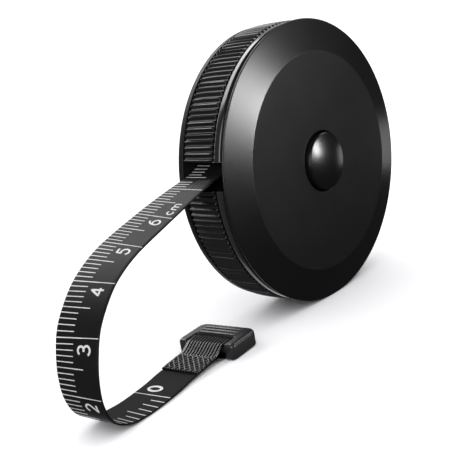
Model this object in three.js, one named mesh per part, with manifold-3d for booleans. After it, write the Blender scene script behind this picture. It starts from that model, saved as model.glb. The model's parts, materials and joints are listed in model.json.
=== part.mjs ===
// Cloth tape measure: a round push-button case on its rim, with a loop of tape pulled out and an end tab.
// Millimetres, +Z up. The disc's axis is Y, its button looks along -Y and the tape leaves along -X.
import * as THREE from 'three';
import { mergeVertices } from 'three/addons/utils/BufferGeometryUtils.js';
import Module from 'manifold-3d';

const wasm = await Module();
wasm.setup();

// Case outside
const caseRadius = 30; // crests of the knurl and edge of the front cover
const faceRadius = 23.3; // flat of the front cover, inside its bevel
const frontBevel = 1.5; // depth of the front cover's bevel
const coverEdge = 0.4; // straight edge under the bevel
const edgeRound = 0.3; // small round on cover edges
const groove = 0.6; // shadow gap under the front cover's edge
const trimWidth = 1.9; // smooth ring beside the knurl
const trimSet = 0.2; // how far the smooth ring lies inside the crests
const trimRound = 0.55; // round of the smooth ring's shoulders
const rearBevel = 2.3; // depth of the rear cover's bevel
const bevelBow = 0.42; // share of a bevel's depth at its middle, a little rounded
const rearStrip = 1.2; // smooth strip of the rear cover beside the knurl
const rearFaceRadius = 24.5; // flat of the rear cover
const stripSet = 0.4; // how far the rear strip lies inside the crests
const coverWall = 1.5; // wall of both covers
const fit = 0.3; // gap between neighbouring pieces

// Knurled grip rim
const knurlCount = 152;
const knurlDepth = 0.5;
const knurlCrest = 0.36; // share of the pitch at the crest
const knurlRoot = 0.2; // share of the pitch at the root
const gripDepth = 2.9; // rim thickness from crest to bore

// Inner wall, front skirt and mouth
const wallThickness = 1.5;
const skirtThickness = 0.9;
const mouthTop = 7; // above the disc's centre
const mouthHeight = 5.6;
const mouthSide = 0.3; // room beside the tape

// Tape
const tapeWidth = 8.5;
const tapeThickness = 0.35;
const tapeSideGap = 0.35; // tape to reel flange
const coilGap = 0.45; // between turns of the winding
const coilSteps = 20; // per turn
const exitHeight = 3.65; // tape in the mouth, from the disc's centre
const exitSlope = 12; // degrees below level
const departAngle = 149; // where the tape leaves the winding, degrees from +X towards +Z
const leadHandleIn = 6;
const leadHandleOut = 5;

// Reel
const flangeThickness = 1;
const flangeGap = 0.6; // flange edge to the front skirt
const flangeProud = 0.55; // flange edge above the winding
const drumRadius = 12.2; // the brake inside it and the button are sized from it
const drumWall = 1.2;
const spigotWall = 0.8;
const spigotDepth = 1;
const washerThickness = 0.4;
const washerRadius = 8.5;
const anchorWidth = 1.6;
const anchorDepth = 0.55;

// Arbor and mainspring
const arborRadius = 2.4;
const arborSeat = 1.7; // depth of the arbor's socket
const bossRadius = 4.5;
const springThickness = 0.25;
const springGap = 0.6; // between turns of the mainspring
const springSteps = 14; // per turn
const springStart = 0.8; // from the arbor to the first turn
const springHook = 0.5; // share of the arbor's radius that the spring's hooked end crosses
const springLift = 0.7; // share of the first step out where the spring leaves the arbor

// Push button and brake
const domeRise = 1.9; // dome above the flat face
const domeHeight = 1.2; // dome above the button's own edge
const buttonSkirt = 1.9;
const buttonWall = 1.05;
const buttonCrown = 1.25; // plastic under the dome's top
const buttonTravel = 1.5;
const wellWall = 0.95;
const wellFloor = 0.9;
const wellLip = 0.25; // chamfer round the well's mouth
const stemRadius = 2;
const keyReach = 0.9; // keys beyond the stem
const keyWidth = 0.8;
const frontRoom = 1; // front cover to reel lid
const brakeDiscThickness = 1;
const brakeRingThickness = 0.7;
const brakeRingWidth = 1.5;
const brakeRingGap = 0.3; // running gap of the released pad
const padRoom = 0.5; // pad's edge to the lid's spigot
const padClear = 0.6; // pad's bore to the button's well
const clipThickness = 0.5;
const clipReach = 1; // clip beyond the stem
const clipGroove = 0.7; // depth of the stem's groove
const stemTail = 0.5; // stem past the clip
const wireRadius = 0.2;
const wireTurns = 2.25;

// End tab, in its own frame: origin on its bar, +X away from the tape
const tabLength = 8.7;
const tabWidth = 13.6;
const tabThickness = 3.2;
const tabCorner = 1.6;
const tabBevel = 0.55;
const barRadius = 0.95;
const slotReach = 2.3; // bar centre to the slot's back edge
const slotSide = 0.6; // slot beside the tape
const ridgeCount = 3;
const ridgeLead = 0.5; // slot's back edge to the first ridge
const ridgePitch = 1.2;
const ridgeRadius = 0.35;
const tongueThickness = 0.8; // folded and welded end of the tape
const tongueTaper = 3; // where the loop has closed to the tongue, from the loop's edge

// Free tape: hand-chosen centre line from the mouth to the fold, then the tab's bar
const tapeRoute = [
  [-30.05, 0.95, 33.6], [-34.2, 0.75, 32.7], [-38.3, 0.55, 31.7], [-42.4, 0.25, 30.7],
  [-46.5, -0.15, 29.7], [-50.6, -0.75, 28.8], [-54.7, -1.45, 27.8], [-58.6, -2.25, 26.5],
  [-62.4, -3.15, 24.7], [-65.7, -4.05, 22.3], [-68.5, -4.65, 19.1], [-70.2, -5.05, 15.3],
  [-71.0, -5.05, 11.1], [-70.7, -4.75, 6.9], [-68.9, -4.35, 3.2], [-65.3, -3.85, 1.0],
  [-61.1, -3.55, 0.35], [-56.9, -3.25, 0.35], [-52.7, -2.65, 0.5], [-48.5, -1.85, 0.85],
];
const tapeTurn = [0, 6, 12.5, 16, 11, 4]; // degrees about Z, evenly along the route, the tab's own last
const tapeTilt = [0, 6.5, 7.5, 4, 4.5, 1]; // degrees, back edge up, level at the tab
const tabBar = [-36.4, -0.58, 1.7];
const routeSteps = 60;

// Facets
const roundSteps = 72; // round the case
const innerSteps = 32; // round the pieces inside
const lipSteps = 12; // round the mouth's lips
const barSteps = 16; // round the tab's bar
const ridgeSteps = 8; // round the tab's ridges
const domeSteps = 6; // from the dome's top to its edge
const wireSteps = 8; // per turn of the button's spring
const wireSides = 5;
const leadSteps = 24;

// Places along the disc's axis, from the tape's middle, front negative
const flangeInner = tapeWidth / 2 + tapeSideGap;
const flangeOuter = flangeInner + flangeThickness;
const rearInner = flangeOuter + fit + washerThickness + fit;
const rearFace = rearInner + coverWall;
const frontInner = -(flangeOuter + frontRoom);
const frontFace = frontInner - coverWall;
const domeTop = frontFace - domeRise;
const domeEdge = domeTop + domeHeight;
const skirtEnd = domeEdge + buttonSkirt;
const wellFront = skirtEnd + buttonTravel + fit;
const wellBack = wellFront + wellFloor;
const edgeFront = frontFace + frontBevel;
const edgeBack = edgeFront + coverEdge;
const trimFront = edgeBack + groove;
const trimBack = trimFront + trimWidth;
const gripFront = trimBack + fit;
const stripBack = rearFace - rearBevel;
const stripFront = stripBack - rearStrip;
const gripBack = stripFront - fit;
const padFront = -flangeInner + brakeRingGap;
const padBack = padFront + brakeRingThickness;
const discFront = padBack + fit;
const discBack = discFront + brakeDiscThickness;
const clipFront = discBack + fit;
const clipBack = clipFront + clipThickness;
const stemEnd = clipBack + fit + stemTail;
const arborFront = stemEnd + buttonTravel + fit;
const springFront = clipBack + buttonTravel + fit;
const springBack = flangeInner - fit;
const bossFront = flangeOuter + fit;
const socketBack = bossFront + arborSeat;
const mouthBack = tapeWidth / 2 + mouthSide;
const mouthFront = trimFront - fit;

// Radii
const gripInner = caseRadius - gripDepth;
const wallOuter = gripInner - fit;
const wallInner = wallOuter - wallThickness;
const wallMiddle = (wallInner + wallOuter) / 2;
const skirtOuter = wallInner - fit;
const skirtInner = skirtOuter - skirtThickness;
const flangeRadius = skirtInner - flangeGap;
const drumInner = drumRadius - drumWall;
const spigotOuter = drumInner - fit;
const spigotInner = spigotOuter - spigotWall;
const padOuter = spigotInner - padRoom;
const padInner = padOuter - brakeRingWidth;
const wellOuter = padInner - padClear;
const wellRadius = wellOuter - wellWall;
const buttonRadius = wellRadius - fit;
const lidBore = wellOuter + fit;
const arborBore = arborRadius + fit;
const stemBore = stemRadius + fit;
const keyRadius = stemRadius + keyReach;
const wireCoilRadius = (buttonRadius - buttonWall + keyRadius) / 2;
const mouthBottom = mouthTop - mouthHeight;
const mouthReach = Math.max(mouthTop, -mouthBottom);

// The case's middle lies at y = 0 with the dome counted in
const centreY = -(domeTop + rearFace) / 2;
const centre = new THREE.Vector3(0, centreY, caseRadius);

const radians = THREE.MathUtils.degToRad;

// Closed, outward body from any geometry: shared corners merged, flat triangles dropped
function closed(geometry) {
  const bare = geometry.clone();
  for (const name of Object.keys(bare.attributes)) if (name !== 'position') bare.deleteAttribute(name);
  const merged = mergeVertices(bare, 1e-4);
  const corners = merged.attributes.position;
  const at = (i) => new THREE.Vector3().fromBufferAttribute(corners, i);
  let faces = [];
  let volume = 0;
  for (let i = 0; i < merged.index.count; i += 3) {
    const face = [0, 1, 2].map((k) => merged.index.getX(i + k));
    if (new Set(face).size < 3) continue;
    const [a, b, c] = face.map(at);
    volume += a.dot(b.cross(c)) / 6;
    faces.push(face);
  }
  if (volume < 0) faces = faces.map(([a, b, c]) => [a, c, b]);
  merged.setIndex(faces.flat());
  return merged;
}

function toSolid(geometry) {
  const body = closed(geometry);
  return new wasm.Manifold(new wasm.Mesh({
    numProp: 3,
    vertProperties: new Float32Array(body.attributes.position.array),
    triVerts: new Uint32Array(body.index.array),
  }));
}

function fromSolid(solid) {
  const mesh = solid.getMesh();
  const geometry = new THREE.BufferGeometry();
  geometry.setAttribute('position', new THREE.BufferAttribute(new Float32Array(mesh.vertProperties), 3));
  geometry.setIndex(Array.from(mesh.triVerts));
  return geometry;
}

function join(base, ...others) {
  return fromSolid(others.reduce((solid, other) => solid.add(toSolid(other)), toSolid(base)));
}

function cut(base, ...tools) {
  return fromSolid(tools.reduce((solid, tool) => solid.subtract(toSolid(tool)), toSolid(base)));
}

// Revolve of [radius, axial] corners about the disc's axis; a section off the axis closes on itself
function revolve(section, steps = innerSteps) {
  const points = section.map(([r, a]) => new THREE.Vector2(r, a));
  if (section[0][0] > 0) points.push(points[0].clone());
  return closed(new THREE.LatheGeometry(points, steps));
}

// Quarter round between two directions, as section corners
function roundCorner(centreR, centreA, radius, fromDeg, toDeg, steps = 2) {
  return Array.from({ length: steps + 1 }, (_, i) => {
    const angle = radians(fromDeg + ((toDeg - fromDeg) * i) / steps);
    return [centreR + radius * Math.cos(angle), centreA + radius * Math.sin(angle)];
  });
}

function ring(inner, outer, front, back, steps = innerSteps) {
  return revolve([[inner, front], [outer, front], [outer, back], [inner, back]], steps);
}

function box(low, high) {
  const size = new THREE.Vector3().subVectors(high, low);
  const middle = new THREE.Vector3().addVectors(low, high).multiplyScalar(0.5);
  return new THREE.BoxGeometry(size.x, size.y, size.z).translate(middle.x, middle.y, middle.z);
}

// Closed body through a row of equal rings of points, with flat ends
function loft(rings) {
  const count = rings[0].length;
  const faces = [];
  for (let i = 0; i + 1 < rings.length; i += 1) {
    for (let k = 0; k < count; k += 1) {
      const a = i * count + k;
      const b = i * count + ((k + 1) % count);
      faces.push(a, b, a + count, b, b + count, a + count);
    }
  }
  const last = (rings.length - 1) * count;
  for (let k = 1; k + 1 < count; k += 1) faces.push(0, k + 1, k, last, last + k, last + k + 1);
  const geometry = new THREE.BufferGeometry().setFromPoints(rings.flat());
  geometry.setIndex(faces);
  return closed(geometry);
}

// Flat strip along a path, with its width along the given direction at each point
function strip(path, across, width, thickness) {
  return loft(path.map((point, i) => {
    const along = new THREE.Vector3()
      .subVectors(path[Math.min(i + 1, path.length - 1)], path[Math.max(i - 1, 0)]).normalize();
    const side = across(i).clone().multiplyScalar(width / 2);
    const up = new THREE.Vector3().crossVectors(along, across(i)).normalize()
      .multiplyScalar(thickness / 2);
    return [[1, 1], [-1, 1], [-1, -1], [1, -1]].map(([s, u]) => (
      point.clone().addScaledVector(side, s).addScaledVector(up, u)));
  }));
}

// Least free gap between a path's points that lie at least a span of points apart
function leastGap(path, span, thickness) {
  let least = Infinity;
  for (let i = 0; i < path.length; i += 1) {
    for (let k = i + span; k < path.length; k += 1) {
      least = Math.min(least, path[i].distanceTo(path[k]));
    }
  }
  return least - thickness;
}

function onDisc(radius, degrees, axial = 0) {
  const angle = radians(degrees);
  return new THREE.Vector3(radius * Math.cos(angle), axial, radius * Math.sin(angle));
}

const axisAcross = () => new THREE.Vector3(0, 1, 0);

// Mouth window: one box through the rim, as deep as the ring that it opens
function mouthCut(front, back) {
  return box(
    new THREE.Vector3(-caseRadius - fit, front, mouthBottom),
    new THREE.Vector3(-Math.sqrt(wallInner ** 2 - mouthReach ** 2) + wallThickness, back, mouthTop),
  );
}

function frontCover() {
  const body = revolve([
    [stemBore, wellFront], [wellRadius, wellFront], [wellRadius, frontFace + wellLip],
    [wellRadius + wellLip, frontFace], [faceRadius, frontFace],
    [(faceRadius + caseRadius) / 2, frontFace + frontBevel * bevelBow],
    ...roundCorner(caseRadius - edgeRound, edgeFront + edgeRound, edgeRound, -70, 0),
    [caseRadius, edgeBack], [skirtOuter, edgeBack], [skirtOuter, -flangeInner],
    [skirtInner, -flangeInner], [skirtInner, frontInner], [wellOuter, frontInner],
    [wellOuter, wellBack], [stemBore, wellBack],
  ], roundSteps);
  const keyHalf = keyWidth / 2 + fit;
  const keyway = keyRadius + fit;
  return cut(body, box(
    new THREE.Vector3(-keyway, wellFront - fit, -keyHalf),
    new THREE.Vector3(keyway, wellBack + fit, keyHalf),
  ));
}

function trimRing() {
  const outer = caseRadius - trimSet;
  const body = revolve([
    [gripInner, trimFront],
    ...roundCorner(outer - trimRound, trimFront + trimRound, trimRound, -90, 0),
    ...roundCorner(outer - trimRound, trimBack - trimRound, trimRound, 0, 90),
    [gripInner, trimBack],
  ], roundSteps);
  return cut(body, mouthCut(trimFront - fit, trimBack + fit));
}

function gripRim() {
  const shape = new THREE.Shape();
  const pitch = 360 / knurlCount;
  const flank = (1 - knurlCrest - knurlRoot) / 2;
  const root = caseRadius - knurlDepth;
  for (let i = 0; i < knurlCount; i += 1) {
    const corners = [
      [root, 0], [root, knurlRoot], [caseRadius, knurlRoot + flank], [caseRadius, 1 - flank],
    ];
    corners.forEach(([radius, share], k) => {
      const angle = radians((i + share) * pitch);
      const place = [radius * Math.cos(angle), radius * Math.sin(angle)];
      if (i + k === 0) shape.moveTo(...place);
      else shape.lineTo(...place);
    });
  }
  shape.closePath();
  const bore = new THREE.Path();
  for (let i = 0; i < roundSteps; i += 1) {
    const angle = (-2 * Math.PI * i) / roundSteps;
    const place = [gripInner * Math.cos(angle), gripInner * Math.sin(angle)];
    if (i === 0) bore.moveTo(...place);
    else bore.lineTo(...place);
  }
  bore.closePath();
  shape.holes.push(bore);
  const body = new THREE.ExtrudeGeometry(shape, {
    depth: gripBack - gripFront, bevelEnabled: false, steps: 1,
  });
  body.rotateX(-Math.PI / 2).translate(0, gripFront, 0);
  return cut(body, mouthCut(gripFront - fit, gripBack + fit));
}

function rearCover() {
  const stripRadius = caseRadius - stripSet;
  const body = revolve([
    [0, socketBack], [arborBore, socketBack], [arborBore, bossFront], [bossRadius, bossFront],
    [bossRadius, rearInner], [wallInner, rearInner], [wallInner, trimFront], [wallOuter, trimFront],
    [wallOuter, stripFront], [stripRadius, stripFront],
    ...roundCorner(stripRadius - edgeRound, stripBack - edgeRound, edgeRound, 0, 70),
    [(rearFaceRadius + stripRadius) / 2, rearFace - rearBevel * bevelBow],
    [rearFaceRadius, rearFace], [0, rearFace],
  ], roundSteps);
  const lip = (height) => new THREE.CylinderGeometry(
    wallThickness / 2, wallThickness / 2, mouthBack - trimFront + fit, lipSteps,
  ).translate(-Math.sqrt(wallMiddle ** 2 - height ** 2), (mouthBack + trimFront + fit) / 2, height);
  return join(cut(body, mouthCut(mouthFront, mouthBack)), lip(mouthTop), lip(mouthBottom));
}

function arbor() {
  const back = socketBack - fit;
  const body = revolve([[0, arborFront], [arborRadius, arborFront], [arborRadius, back], [0, back]]);
  const slotHalf = springThickness / 2 + fit;
  return cut(body, box(
    new THREE.Vector3(-arborRadius - fit, arborFront - fit, -slotHalf),
    new THREE.Vector3(arborRadius + fit, springBack + fit, slotHalf),
  ));
}

function mainspring() {
  const pitch = springThickness + springGap;
  const first = arborRadius + springStart;
  const last = drumInner - fit - springThickness / 2;
  const turns = (last - first) / pitch;
  const steps = Math.ceil(turns * springSteps);
  const path = [
    onDisc(-arborRadius * springHook, 0), onDisc(arborRadius, 0),
    onDisc(arborRadius + springStart * springLift, 3),
  ];
  const hook = path.length;
  for (let i = 1; i <= steps; i += 1) {
    path.push(onDisc(first + (pitch * turns * i) / steps, (360 * turns * i) / steps));
  }
  const gap = leastGap(path.slice(hook), springSteps / 2, springThickness);
  console.log('mainspring least gap', gap.toFixed(2), 'mm');
  const middle = (springFront + springBack) / 2;
  return strip(path, axisAcross, springBack - springFront, springThickness).translate(0, middle, 0);
}

function thrustWasher() {
  return ring(bossRadius + fit, washerRadius, flangeOuter + fit, flangeOuter + fit + washerThickness);
}

const coilInner = drumRadius + fit + tapeThickness / 2;
const coilPitch = tapeThickness + coilGap;
const coilOuter = flangeRadius - flangeProud - tapeThickness / 2;
const coilTurns = (coilOuter - coilInner) / coilPitch;
const coilStart = departAngle - 360 * coilTurns;

function reelDrum() {
  const body = revolve([
    [arborBore, flangeInner], [drumInner, flangeInner], [drumInner, -flangeInner + fit],
    [drumRadius, -flangeInner + fit], [drumRadius, flangeInner], [flangeRadius, flangeInner],
    [flangeRadius, flangeOuter], [arborBore, flangeOuter],
  ]);
  const seat = anchorWidth / 2 + fit;
  const pocket = box(
    new THREE.Vector3(drumRadius - anchorDepth - fit, -flangeInner, -seat),
    new THREE.Vector3(drumRadius + fit, tapeWidth / 2 + fit / 2, seat),
  ).rotateY(-radians(coilStart));
  return cut(body, pocket);
}

function reelLid() {
  return revolve([
    [lidBore, -flangeOuter], [flangeRadius, -flangeOuter], [flangeRadius, -flangeInner],
    [spigotOuter, -flangeInner], [spigotOuter, -flangeInner + spigotDepth],
    [spigotInner, -flangeInner + spigotDepth], [spigotInner, -flangeInner], [lidBore, -flangeInner],
  ]);
}

function tapeAnchor() {
  return box(
    new THREE.Vector3(drumRadius - anchorDepth, -tapeWidth / 2, -anchorWidth / 2),
    new THREE.Vector3(drumRadius - fit / 2, tapeWidth / 2, anchorWidth / 2),
  ).rotateY(-radians(coilStart));
}

// Winding: a spiral from the drum out to where the tape leaves it
const coilPath = [];
{
  const steps = Math.ceil(coilTurns * coilSteps);
  for (let i = 0; i <= steps; i += 1) {
    const share = i / steps;
    const radius = coilInner + (coilOuter - coilInner) * share;
    coilPath.push(onDisc(radius, coilStart + 360 * coilTurns * share));
  }
}

function tapeCoil() {
  const gap = leastGap(coilPath, coilSteps / 2, tapeThickness);
  console.log('tape winding least gap', gap.toFixed(2), 'mm');
  return strip(coilPath, axisAcross, tapeWidth, tapeThickness);
}

// Inner run: from the winding to the mouth, bending round the mouth's upper lip
const leadCurve = (() => {
  const start = onDisc(coilOuter, departAngle);
  const leave = onDisc(1, departAngle + 90);
  const mouth = new THREE.Vector3(-caseRadius + fit, 0, exitHeight);
  const out = onDisc(1, 180 + exitSlope);
  return new THREE.CubicBezierCurve3(
    start, start.clone().addScaledVector(leave, leadHandleIn),
    mouth.clone().addScaledVector(out, -leadHandleOut), mouth,
  );
})();

function tapeLead() {
  const whole = leadCurve.getSpacedPoints(leadSteps);
  return strip(whole.slice(1), axisAcross, tapeWidth, tapeThickness);
}

function pushButton() {
  const sphere = (buttonRadius ** 2 + domeHeight ** 2) / (2 * domeHeight);
  const dome = Array.from({ length: domeSteps + 1 }, (_, i) => {
    const r = (buttonRadius * i) / domeSteps;
    return [r, domeTop + sphere - Math.sqrt(sphere ** 2 - r ** 2)];
  });
  const ceiling = domeTop + buttonCrown;
  const clipNeck = stemRadius - clipGroove;
  const body = revolve([
    ...dome, [buttonRadius, skirtEnd], [buttonRadius - buttonWall, skirtEnd],
    [buttonRadius - buttonWall, ceiling], [stemRadius, ceiling], [stemRadius, clipFront - fit / 2],
    [clipNeck, clipFront - fit / 2], [clipNeck, clipBack + fit], [stemRadius, clipBack + fit],
    [stemRadius, stemEnd], [0, stemEnd],
  ]);
  return join(body, box(
    new THREE.Vector3(-keyRadius, ceiling - fit, -keyWidth / 2),
    new THREE.Vector3(keyRadius, discFront - fit, keyWidth / 2),
  ));
}

function buttonSpring() {
  const low = domeTop + buttonCrown + fit + wireRadius;
  const high = wellFront - fit - wireRadius;
  const steps = wireTurns * wireSteps;
  const path = Array.from({ length: steps + 1 }, (_, i) => (
    onDisc(wireCoilRadius, (360 * wireTurns * i) / steps, low + ((high - low) * i) / steps)));
  const gap = leastGap(path, wireSteps / 2, 2 * wireRadius);
  console.log('button spring least gap', gap.toFixed(2), 'mm');
  const along = axisAcross();
  return loft(path.map((point, i) => {
    const outward = onDisc(1, (360 * wireTurns * i) / steps);
    return Array.from({ length: wireSides }, (_, k) => {
      const angle = (2 * Math.PI * k) / wireSides;
      return point.clone().addScaledVector(outward, wireRadius * Math.cos(angle))
        .addScaledVector(along, wireRadius * Math.sin(angle));
    });
  }));
}

function brakeDisc() {
  return ring(stemBore, padOuter, discFront, discBack);
}

function brakeRing() {
  return ring(padInner, padOuter, padFront, padBack);
}

function stemClip() {
  return ring(stemRadius - clipGroove + fit, stemRadius + clipReach, clipFront, clipBack);
}

// Free tape: its width turns and tilts from the case's axis to the tab's along its length
const routeEnd = new THREE.Vector3(...tapeRoute[tapeRoute.length - 1]);
const barPlace = new THREE.Vector3(...tabBar);
const toTab = new THREE.Vector3().subVectors(barPlace, routeEnd);
const tabYaw = Math.atan2(toTab.y, toTab.x);
const tabSlope = Math.atan2(toTab.z, Math.hypot(toTab.x, toTab.y));

function tapeFree() {
  const curve = new THREE.CatmullRomCurve3(tapeRoute.map((point) => new THREE.Vector3(...point)));
  const path = curve.getSpacedPoints(routeSteps);
  const knots = tapeTurn.map((turn, i) => new THREE.Vector3(radians(turn), radians(tapeTilt[i]), 0));
  const turns = new THREE.CatmullRomCurve3([...knots, new THREE.Vector3(tabYaw, 0, 0)]);
  turns.curveType = 'catmullrom';
  const across = (i) => {
    const { x: yaw, y: tilt } = turns.getPoint(i / routeSteps);
    const flat = Math.cos(tilt);
    return new THREE.Vector3(-Math.sin(yaw) * flat, Math.cos(yaw) * flat, Math.sin(tilt));
  };
  const free = curve.getLength();
  const total = Math.PI * coilTurns * (coilInner + coilOuter) + leadCurve.getLength() + free;
  console.log('tape in all', total.toFixed(0), 'mm, of it free', free.toFixed(1), 'mm');
  return strip(path, across, tapeWidth, tapeThickness);
}

// Fold: the tape's end goes round the tab's bar and is welded back on itself
function tapeFold() {
  const hole = barRadius + fit;
  const outer = hole + tapeThickness;
  const half = tongueThickness / 2;
  const shape = new THREE.Shape();
  shape.absarc(0, 0, outer, radians(-135), radians(135), false);
  shape.lineTo(-outer - tongueTaper, half);
  shape.lineTo(-toTab.length() + fit, half);
  shape.lineTo(-toTab.length() + fit, -half);
  shape.lineTo(-outer - tongueTaper, -half);
  shape.closePath();
  const bore = new THREE.Path();
  bore.absarc(0, 0, hole, 0, 2 * Math.PI, true);
  shape.holes.push(bore);
  const body = new THREE.ExtrudeGeometry(shape, {
    depth: tapeWidth, bevelEnabled: false, steps: 1, curveSegments: 12,
  });
  return closed(body.translate(0, 0, -tapeWidth / 2).rotateX(Math.PI / 2));
}

function endTab() {
  const outer = barRadius + fit + tapeThickness;
  const shape = new THREE.Shape();
  const x0 = -outer + tabBevel;
  const x1 = tabLength - outer - tabBevel;
  const y1 = tabWidth / 2 - tabBevel;
  const c = tabCorner - tabBevel;
  shape.moveTo(x0 + c, -y1);
  shape.lineTo(x1 - c, -y1).absarc(x1 - c, -y1 + c, c, radians(-90), 0, false);
  shape.lineTo(x1, y1 - c).absarc(x1 - c, y1 - c, c, 0, radians(90), false);
  shape.lineTo(x0 + c, y1).absarc(x0 + c, y1 - c, c, radians(90), radians(180), false);
  shape.lineTo(x0, -y1 + c).absarc(x0 + c, -y1 + c, c, radians(180), radians(270), false);
  const plate = new THREE.ExtrudeGeometry(shape, {
    depth: tabThickness - 2 * tabBevel, bevelEnabled: true, bevelThickness: tabBevel, bevelSize: tabBevel,
    bevelSegments: 2, curveSegments: 4,
  }).translate(0, 0, -tabThickness / 2 + tabBevel);
  const slotHalf = tapeWidth / 2 + slotSide;
  const slot = box(
    new THREE.Vector3(-outer - fit, -slotHalf, -tabThickness),
    new THREE.Vector3(slotReach, slotHalf, tabThickness),
  );
  const bar = new THREE.CylinderGeometry(barRadius, barRadius, 2 * slotHalf + tabCorner, barSteps);
  const ridges = Array.from({ length: ridgeCount }, (_, i) => (
    new THREE.CapsuleGeometry(ridgeRadius, 2 * (slotHalf - ridgeRadius), 3, ridgeSteps)
      .translate(slotReach + ridgeLead + ridgePitch * i, 0, tabThickness / 2)));
  return join(cut(plate, slot), bar, ...ridges);
}

const finishes = {
  satinBlack: { color: 0x17181a, roughness: 0.42, metalness: 0 },
  glossBlack: { color: 0x141517, roughness: 0.22, metalness: 0 },
  gripBlack: { color: 0x1b1c1e, roughness: 0.55, metalness: 0 },
  acetal: { color: 0xd9d6cc, roughness: 0.5, metalness: 0 },
  nylon: { color: 0x3a3c40, roughness: 0.55, metalness: 0 },
  springSteel: { color: 0x8f959c, roughness: 0.3, metalness: 1 },
  rubber: { color: 0x2a2320, roughness: 0.85, metalness: 0 },
  tape: { color: 0x1a1a1b, roughness: 0.6, metalness: 0 },
};

function piece(name, geometry, finish) {
  const mesh = new THREE.Mesh(geometry, new THREE.MeshStandardMaterial(finishes[finish]));
  mesh.name = name;
  return mesh;
}

const disc = new THREE.Group();
disc.position.copy(centre);
disc.add(
  piece('front_cover', frontCover(), 'satinBlack'),
  piece('trim_ring', trimRing(), 'glossBlack'),
  piece('grip_rim', gripRim(), 'gripBlack'),
  piece('rear_cover', rearCover(), 'satinBlack'),
  piece('arbor', arbor(), 'acetal'),
  piece('mainspring', mainspring(), 'springSteel'),
  piece('thrust_washer', thrustWasher(), 'acetal'),
  piece('reel_drum', reelDrum(), 'nylon'),
  piece('reel_lid', reelLid(), 'nylon'),
  piece('tape_anchor', tapeAnchor(), 'acetal'),
  piece('tape_coil', tapeCoil(), 'tape'),
  piece('tape_lead', tapeLead(), 'tape'),
  piece('push_button', pushButton(), 'glossBlack'),
  piece('button_spring', buttonSpring(), 'springSteel'),
  piece('brake_disc', brakeDisc(), 'acetal'),
  piece('brake_ring', brakeRing(), 'rubber'),
  piece('stem_clip', stemClip(), 'springSteel'),
);

const fold = piece('tape_fold', tapeFold(), 'tape');
fold.rotation.y = -tabSlope;
const tabGroup = new THREE.Group();
tabGroup.position.copy(barPlace);
tabGroup.rotation.z = tabYaw;
tabGroup.add(fold, piece('end_tab', endTab(), 'satinBlack'));

const group = new THREE.Group();
group.add(disc, piece('tape_free', tapeFree(), 'tape'), tabGroup);

export default group;
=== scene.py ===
# Cloth tape measure: finishes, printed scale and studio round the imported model.
import json
from math import radians

import bpy
import numpy as np
from mathutils import Matrix


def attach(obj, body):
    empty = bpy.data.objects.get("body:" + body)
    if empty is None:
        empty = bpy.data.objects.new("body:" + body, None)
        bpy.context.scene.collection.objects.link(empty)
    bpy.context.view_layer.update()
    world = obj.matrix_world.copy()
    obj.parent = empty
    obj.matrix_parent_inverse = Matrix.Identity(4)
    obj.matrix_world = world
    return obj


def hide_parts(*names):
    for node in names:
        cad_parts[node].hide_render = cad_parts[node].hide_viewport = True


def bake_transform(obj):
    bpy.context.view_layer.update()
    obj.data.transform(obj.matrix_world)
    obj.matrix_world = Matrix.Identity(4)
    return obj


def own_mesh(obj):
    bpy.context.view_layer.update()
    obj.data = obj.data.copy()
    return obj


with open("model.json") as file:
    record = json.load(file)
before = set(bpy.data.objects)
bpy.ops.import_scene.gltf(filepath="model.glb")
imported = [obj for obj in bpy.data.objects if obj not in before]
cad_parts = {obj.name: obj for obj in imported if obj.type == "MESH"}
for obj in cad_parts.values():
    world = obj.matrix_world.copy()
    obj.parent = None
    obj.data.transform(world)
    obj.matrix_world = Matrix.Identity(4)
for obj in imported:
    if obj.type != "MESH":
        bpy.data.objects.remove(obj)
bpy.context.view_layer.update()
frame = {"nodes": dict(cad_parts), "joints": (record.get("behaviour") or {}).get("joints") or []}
mm = 0.001
jointAt = {joint["name"]: joint for joint in frame["joints"]}
discCentre = np.array(jointAt["reel_spin"]["pos_m"]) / mm  # millimetres, as every shape below
barCentre = np.array(jointAt["tab_swivel"]["pos_m"]) / mm
print("frame loaded:", len(frame["nodes"]), "nodes")


# Camera of the photograph

cameraSet = {
    "place": (-145.3, -115.05, 65.5),
    "turn": 46.1,  # degrees from +Y towards +X
    "tilt": -14.25,  # degrees above level
    "roll": -10.0,
    "lens": (68.7, 36),  # focal length, width of the sensor
}


def addCamera(s):
    turn, tilt, roll = (radians(s[key]) for key in ("turn", "tilt", "roll"))
    look = np.array([np.cos(tilt) * np.sin(turn), np.cos(tilt) * np.cos(turn), np.sin(tilt)])
    level = np.array([np.cos(turn), -np.sin(turn), 0])
    upright = np.cross(level, look)
    right = level * np.cos(roll) + upright * np.sin(roll)
    up = upright * np.cos(roll) - level * np.sin(roll)
    camera = bpy.data.objects.new("camera", bpy.data.cameras.new("camera"))
    camera.data.lens, camera.data.sensor_width = s["lens"]
    camera.data.clip_start = 0.01
    pose = np.eye(4)
    pose[:3] = np.c_[right, up, -look, np.array(s["place"]) * mm]
    camera.matrix_world = Matrix(pose.tolist())
    bpy.context.scene.collection.objects.link(camera)
    bpy.context.scene.camera = camera


addCamera(cameraSet)


# Meshes from grids of points

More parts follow.
